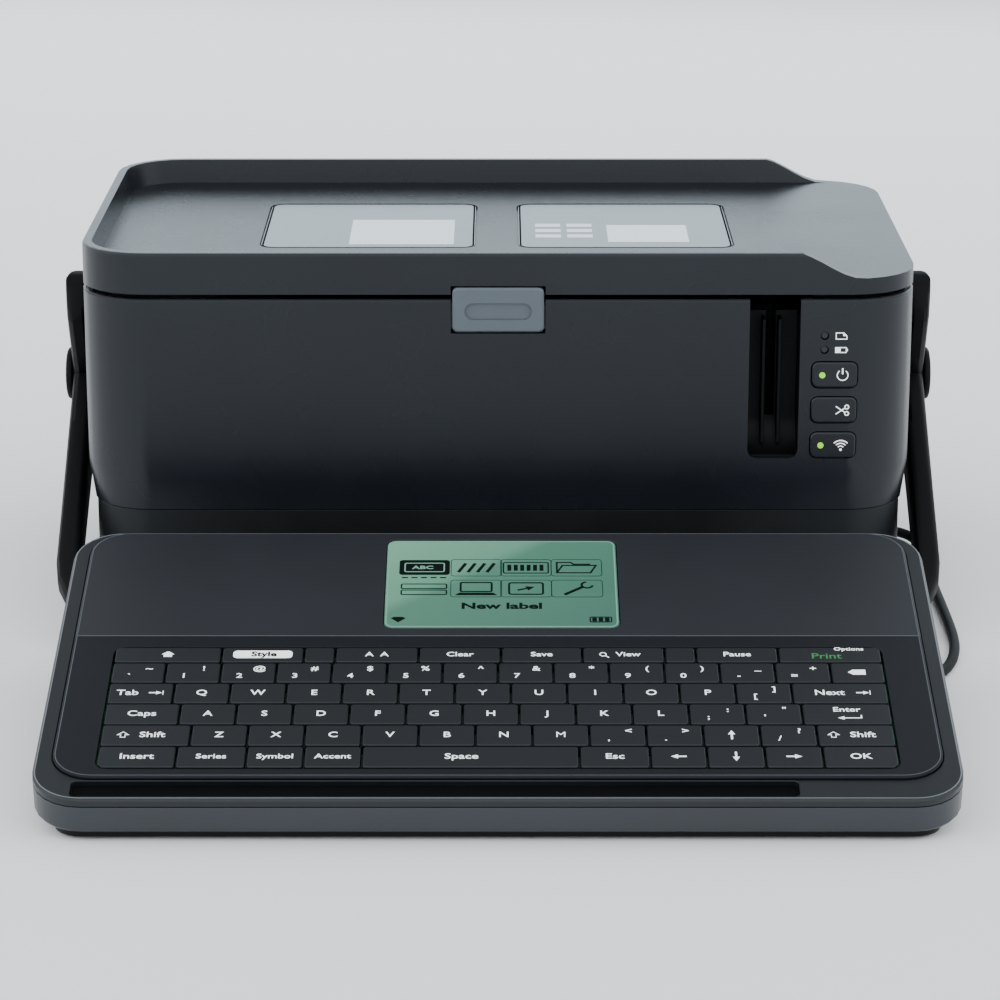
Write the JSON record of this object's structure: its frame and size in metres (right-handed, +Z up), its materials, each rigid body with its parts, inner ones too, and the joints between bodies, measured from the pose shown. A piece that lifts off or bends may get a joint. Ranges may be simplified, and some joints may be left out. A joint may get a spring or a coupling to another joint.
{
  "type": "label maker",
  "caption": "Desktop label maker with tray lid, tape exit slot, front buttons and swinging carry handle, and a wired keyboard with a green display.",
  "frame": {"origin": "centre of the footprint of printer and keyboard together, on the table", "axes": "+X to the right as the user sees it, +Y from the keyboard towards the printer's back, +Z up"},
  "size_m": [0.3473, 0.3998, 0.148],
  "materials": {
    "body_black": "fine-textured satin moulding",
    "base_black": "coarse-textured dark moulding",
    "frame_black": "satin moulding",
    "handle_black": "matte moulding",
    "latch_grey": "satin blue-grey moulding",
    "panel_gloss": "glossy printed panel",
    "key_black": "matte keys with white legends",
    "screen_green": "reflective green display behind a clear window",
    "lamp_smoke": "smoked light pipe",
    "rubber_black": "matte rubber",
    "cable_black": "satin cable sheath",
    "steel": "plain sheet steel",
    "board_green": "circuit board",
    "gear_white": "natural engineering plastic",
    "battery_grey": "plain moulding"
  },
  "bodies": {
    "printer": {"base_shell": "base_black", "body_shell": "body_black", "deck_frame": "base_black", "tape_exit_guide": "base_black", "mechanism_chassis": "steel", "print_head": "gear_white", "head_bracket": "steel", "feed_motor": "steel", "main_board": "board_green", "button_board": "board_green", "battery_pack": "battery_grey", "battery_cover": "base_black", "rear_port_panel": "body_black", "usb_socket": "steel", "power_socket": "base_black", "hinge_rail": "steel", "hinge_rod": "steel", "left_pivot_pin": "steel", "right_pivot_pin": "steel", "printer_cable_gland": "cable_black", "keyboard_cable": "cable_black", "indicator_light_pipe": "lamp_smoke", "front_base_foot": "rubber_black", "rear_base_foot": "rubber_black"},
    "lid": {"top_lid": "body_black", "left_lid_panel": "panel_gloss", "right_lid_panel": "panel_gloss", "lid_latch_hook": "base_black"},
    "release": {"release_button": "latch_grey"},
    "power": {"power_button": "key_black"},
    "cut": {"cut_button": "key_black"},
    "wireless": {"wireless_button": "key_black"},
    "handle": {"handle_bail": "handle_black", "left_pivot_cap": "handle_black", "right_pivot_cap": "handle_black", "handle_grip": "rubber_black"},
    "cutter": {"cutter_blade": "steel"},
    "pinion": {"motor_pinion": "gear_white"},
    "idler": {"idler_gear": "gear_white"},
    "roller": {"platen_roller": "rubber_black", "roller_gear": "gear_white"},
    "spindle": {"ribbon_spindle": "gear_white"},
    "keyboard": {"keyboard_bottom_case": "frame_black", "keyboard_top_case": "frame_black", "keyboard_faceplate": "body_black", "display_window": "screen_green", "display_module": "battery_grey", "keyboard_board": "board_green", "keyboard_front_foot": "rubber_black", "keyboard_cable_gland": "cable_black"},
    "left_leg": {"left_tilt_leg": "frame_black"},
    "right_leg": {"right_tilt_leg": "frame_black"},
    "bottom_row": {"bottom_row_keys": "key_black"},
    "lower_row": {"lower_row_keys": "key_black"},
    "home_row": {"home_row_keys": "key_black"},
    "upper_row": {"upper_row_keys": "key_black"},
    "number_row": {"number_row_keys": "key_black"},
    "function_row": {"function_row_keys": "key_black"},
    "space": {"space_key": "key_black"}
  },
  "joints": [
    {"name": "lid_hinge", "type": "hinge", "parent": "printer", "child": "lid", "pos_m": [0, 0.19692, 0.1312], "axis": [-1, 0, 0], "range_deg": [0, 80]},
    {"name": "release_press", "type": "slide", "parent": "printer", "child": "release", "axis": [0, 1, 0], "range_m": [0, 0.002], "stiffness_N_per_m": 600, "springref_m": -0.001},
    {"name": "power_press", "type": "slide", "parent": "printer", "child": "power", "axis": [0, 1, 0], "range_m": [0, 0.001], "stiffness_N_per_m": 600, "springref_m": -0.001},
    {"name": "cut_press", "type": "slide", "parent": "printer", "child": "cut", "axis": [0, 1, 0], "range_m": [0, 0.001], "stiffness_N_per_m": 600, "springref_m": -0.001},
    {"name": "wireless_press", "type": "slide", "parent": "printer", "child": "wireless", "axis": [0, 1, 0], "range_m": [0, 0.001], "stiffness_N_per_m": 600, "springref_m": -0.001},
    {"name": "handle_swing", "type": "hinge", "parent": "printer", "child": "handle", "pos_m": [0, 0.10192, 0.08], "axis": [-1, 0, 0], "range_deg": [0, 124.5]},
    {"name": "cutter_stroke", "type": "slide", "parent": "printer", "child": "cutter", "axis": [-1, 0, 0], "range_m": [0, 0.009]},
    {"name": "roller_spin", "type": "hinge", "parent": "printer", "child": "roller", "pos_m": [0.1035, 0.06392, 0.0506], "axis": [0, 0, 1], "continuous": true},
    {"name": "idler_spin", "type": "hinge", "parent": "printer", "child": "idler", "pos_m": [0.11135, 0.09205, 0.0506], "axis": [0, 0, 1], "continuous": true},
    {"name": "pinion_spin", "type": "hinge", "parent": "printer", "child": "pinion", "pos_m": [0.132, 0.07592, 0.0506], "axis": [0, 0, 1], "continuous": true},
    {"name": "spindle_spin", "type": "hinge", "parent": "printer", "child": "spindle", "pos_m": [0.07964, 0.09764, 0.0506], "axis": [0, 0, 1], "continuous": true},
    {"name": "keyboard_shift", "type": "slide", "parent": "printer", "child": "keyboard", "axis": [0, -1, 0], "range_m": [0, 0.02]},
    {"name": "left_leg_fold", "type": "hinge", "parent": "keyboard", "child": "left_leg", "pos_m": [-0.103, -0.0503, 0.03281], "axis": [-1, 0, 0], "range_deg": [0, 80]},
    {"name": "right_leg_fold", "type": "hinge", "parent": "keyboard", "child": "right_leg", "pos_m": [0.103, -0.0503, 0.03281], "axis": [-1, 0, 0], "range_deg": [0, 80]},
    {"name": "bottom_row_press", "type": "slide", "parent": "keyboard", "child": "bottom_row", "axis": [0, 0.2419, -0.9703], "range_m": [0, 0.0015], "stiffness_N_per_m": 500, "springref_m": -0.001},
    {"name": "lower_row_press", "type": "slide", "parent": "keyboard", "child": "lower_row", "axis": [0, 0.2419, -0.9703], "range_m": [0, 0.0015], "stiffness_N_per_m": 500, "springref_m": -0.001},
    {"name": "home_row_press", "type": "slide", "parent": "keyboard", "child": "home_row", "axis": [0, 0.2419, -0.9703], "range_m": [0, 0.0015], "stiffness_N_per_m": 500, "springref_m": -0.001},
    {"name": "upper_row_press", "type": "slide", "parent": "keyboard", "child": "upper_row", "axis": [0, 0.2419, -0.9703], "range_m": [0, 0.0015], "stiffness_N_per_m": 500, "springref_m": -0.001},
    {"name": "number_row_press", "type": "slide", "parent": "keyboard", "child": "number_row", "axis": [0, 0.2419, -0.9703], "range_m": [0, 0.0015], "stiffness_N_per_m": 500, "springref_m": -0.001},
    {"name": "function_row_press", "type": "slide", "parent": "keyboard", "child": "function_row", "axis": [0, 0.2419, -0.9703], "range_m": [0, 0.0015], "stiffness_N_per_m": 500, "springref_m": -0.001},
    {"name": "space_press", "type": "slide", "parent": "keyboard", "child": "space", "axis": [0, 0.2419, -0.9703], "range_m": [0, 0.0015], "stiffness_N_per_m": 500, "springref_m": -0.001}
  ],
  "couplings": [
    {"joint": "idler_spin", "follows": "roller_spin", "ratio": -0.45},
    {"joint": "pinion_spin", "follows": "roller_spin", "ratio": 1.5},
    {"joint": "spindle_spin", "follows": "roller_spin", "ratio": 0.75}
  ]
}
